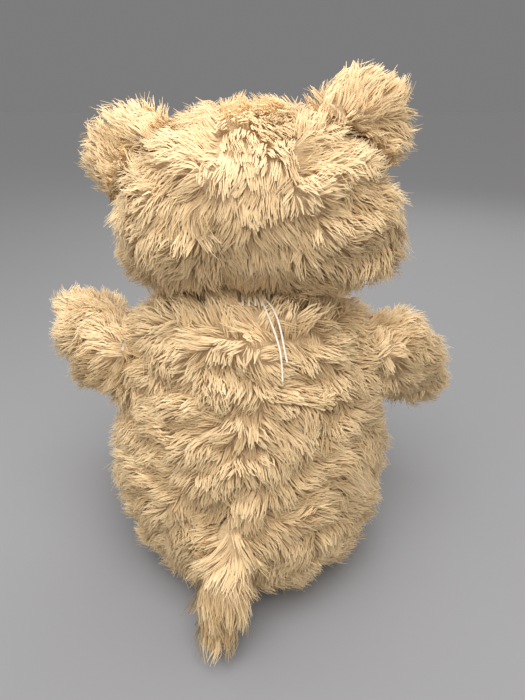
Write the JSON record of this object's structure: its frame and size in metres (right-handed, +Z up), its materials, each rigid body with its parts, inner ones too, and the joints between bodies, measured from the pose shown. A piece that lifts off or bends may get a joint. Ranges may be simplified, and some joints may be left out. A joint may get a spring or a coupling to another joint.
{
  "type": "jointed teddy bear",
  "caption": "Seated jointed teddy bear in long cream-beige pile, with round ears, a turning head, disc-jointed arms and legs, a long tufted tail and loose thread ends at the nape",
  "frame": {"origin": "middle of the flat seat, on the surface the bear sits on", "axes": "+Z up, the bear faces -Y, its left side is +X"},
  "size_m": [0.3413, 0.2875, 0.3964],
  "materials": {
    "fur": "long cream-beige pile, in tufts",
    "filling": "loose white polyester fibre",
    "short_pile": "short dense cream pile",
    "pad_suede": "brushed suede cloth",
    "nose_velour": "dark brown satin stitching",
    "eye_gloss": "gloss",
    "joint_plastic": "matte moulded plastic",
    "thread": "soft twisted cream thread"
  },
  "bodies": {
    "torso": {"torso_left_cover": "fur", "torso_right_cover": "fur", "torso_filling": "filling", "joint_back_discs": "joint_plastic", "tail": "fur", "nape_stitches": "thread", "long_thread_end": "thread", "short_thread_end": "thread"},
    "head": {"head_gusset": "fur", "head_left_cover": "fur", "head_right_cover": "fur", "head_filling": "filling", "muzzle": "short_pile", "nose": "nose_velour", "mouth_stitches": "nose_velour", "left_eye": "eye_gloss", "right_eye": "eye_gloss", "left_eye_washer": "joint_plastic", "right_eye_washer": "joint_plastic", "left_ear": "fur", "right_ear": "fur", "left_ear_lining": "short_pile", "right_ear_lining": "short_pile", "neck_stem_disc": "joint_plastic", "neck_lock_washer": "joint_plastic"},
    "left_arm": {"left_arm_cover": "fur", "left_arm_filling": "filling", "left_arm_stem_disc": "joint_plastic", "left_arm_lock_washer": "joint_plastic"},
    "left_leg": {"left_leg_cover": "fur", "left_leg_filling": "filling", "left_foot_pad": "pad_suede", "left_leg_stem_disc": "joint_plastic", "left_leg_lock_washer": "joint_plastic"},
    "right_arm": {"right_arm_cover": "fur", "right_arm_filling": "filling", "right_arm_stem_disc": "joint_plastic", "right_arm_lock_washer": "joint_plastic"},
    "right_leg": {"right_leg_cover": "fur", "right_leg_filling": "filling", "right_foot_pad": "pad_suede", "right_leg_stem_disc": "joint_plastic", "right_leg_lock_washer": "joint_plastic"}
  },
  "joints": [
    {"name": "neck_turn", "type": "hinge", "parent": "torso", "child": "head", "pos_m": [0, -0.02202, 0.2542], "axis": [0, 0, 1], "continuous": true},
    {"name": "left_shoulder_turn", "type": "hinge", "parent": "torso", "child": "left_arm", "pos_m": [0.0936, -0.01611, 0.186], "axis": [0.9635, 0, 0.2677], "range_deg": [-38, 132]},
    {"name": "right_shoulder_turn", "type": "hinge", "parent": "torso", "child": "right_arm", "pos_m": [-0.0936, -0.01611, 0.186], "axis": [-0.9635, 0, 0.2677], "range_deg": [-78, 92]},
    {"name": "left_hip_turn", "type": "hinge", "parent": "torso", "child": "left_leg", "pos_m": [0.046, -0.05, 0.044], "axis": [1, 0, 0], "range_deg": [-10, 95]},
    {"name": "right_hip_turn", "type": "hinge", "parent": "torso", "child": "right_leg", "pos_m": [-0.046, -0.05, 0.044], "axis": [-1, 0, 0], "range_deg": [-95, 10]}
  ]
}
